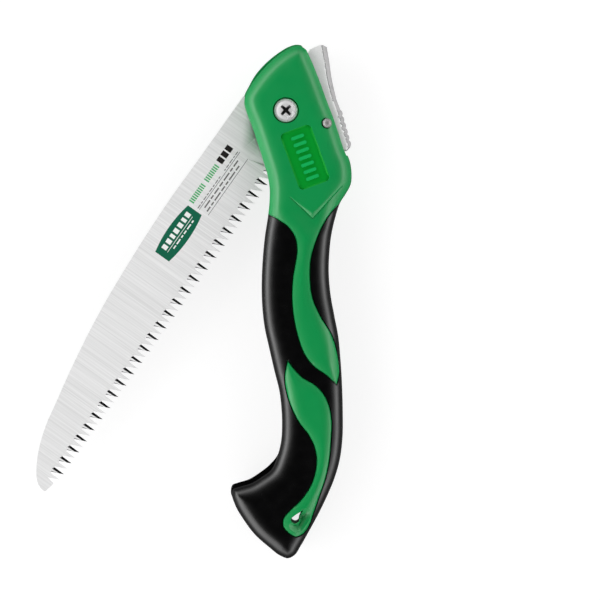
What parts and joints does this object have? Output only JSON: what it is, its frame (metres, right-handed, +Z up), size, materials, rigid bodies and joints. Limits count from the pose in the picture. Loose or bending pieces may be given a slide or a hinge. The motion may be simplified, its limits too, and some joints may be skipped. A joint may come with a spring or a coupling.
{
  "type": "folding pruning saw",
  "caption": "Folding pruning saw with a long-toothed, curved-back blade, a moulded handle with soft grips and a hooked butt, and a sprung lock lever in the back of the head.",
  "frame": {"origin": "centre of the whole saw's box in X and Y, on the flat surface that it lies on", "axes": "+Z up from the surface through the handle's thickness, +Y along the handle from its butt to its head, +X to the side with the lock lever"},
  "size_m": [0.1776, 0.289, 0.0266],
  "materials": {
    "near_shell": "moulded, semi-gloss green",
    "far_shell": "moulded, semi-gloss green",
    "near_grip": "satin soft overmould",
    "far_grip": "satin soft overmould",
    "blade": "brushed across, with ground teeth",
    "lock_lever": "satin cast alloy",
    "lever_pin": "polished",
    "lever_spring": "drawn spring wire",
    "pivot_bolt": "polished",
    "pivot_nut": "polished",
    "pivot_bush": "turned bronze",
    "spring_washer": "pressed",
    "near_washer": "pressed bronze",
    "far_washer": "pressed bronze",
    "blade_stop_pin": "ground",
    "handle_screw_1": "plated",
    "threaded_insert_1": "turned brass",
    "handle_screw_2": "plated",
    "threaded_insert_2": "turned brass",
    "handle_screw_3": "plated",
    "threaded_insert_3": "turned brass",
    "handle_screw_4": "plated",
    "threaded_insert_4": "turned brass",
    "handle_screw_5": "plated",
    "threaded_insert_5": "turned brass"
  },
  "bodies": {
    "handle": {"near_shell": "near_shell", "far_shell": "far_shell", "near_grip": "near_grip", "far_grip": "far_grip", "lever_pin": "lever_pin", "lever_spring": "lever_spring", "pivot_bolt": "pivot_bolt", "pivot_nut": "pivot_nut", "pivot_bush": "pivot_bush", "spring_washer": "spring_washer", "near_washer": "near_washer", "far_washer": "far_washer", "blade_stop_pin": "blade_stop_pin", "handle_screw_1": "handle_screw_1", "threaded_insert_1": "threaded_insert_1", "handle_screw_2": "handle_screw_2", "threaded_insert_2": "threaded_insert_2", "handle_screw_3": "handle_screw_3", "threaded_insert_3": "threaded_insert_3", "handle_screw_4": "handle_screw_4", "threaded_insert_4": "threaded_insert_4", "handle_screw_5": "handle_screw_5", "threaded_insert_5": "threaded_insert_5"},
    "blade": {"blade": "blade"},
    "lock_lever": {"lock_lever": "lock_lever"}
  },
  "joints": [
    {"name": "blade_hinge", "type": "hinge", "parent": "handle", "child": "blade", "pos_m": [0.0518, 0.10645, 0.013], "axis": [0, 0, -1], "range_deg": [-32.3, 124.6]},
    {"name": "lever_hinge", "type": "hinge", "parent": "handle", "child": "lock_lever", "pos_m": [0.07477, 0.09934, 0.013], "axis": [0, 0, -1], "range_deg": [0, 6], "stiffness_Nm_per_rad": 0.4, "springref_deg": -20.05, "deforming": ["lever_spring"]}
  ]
}
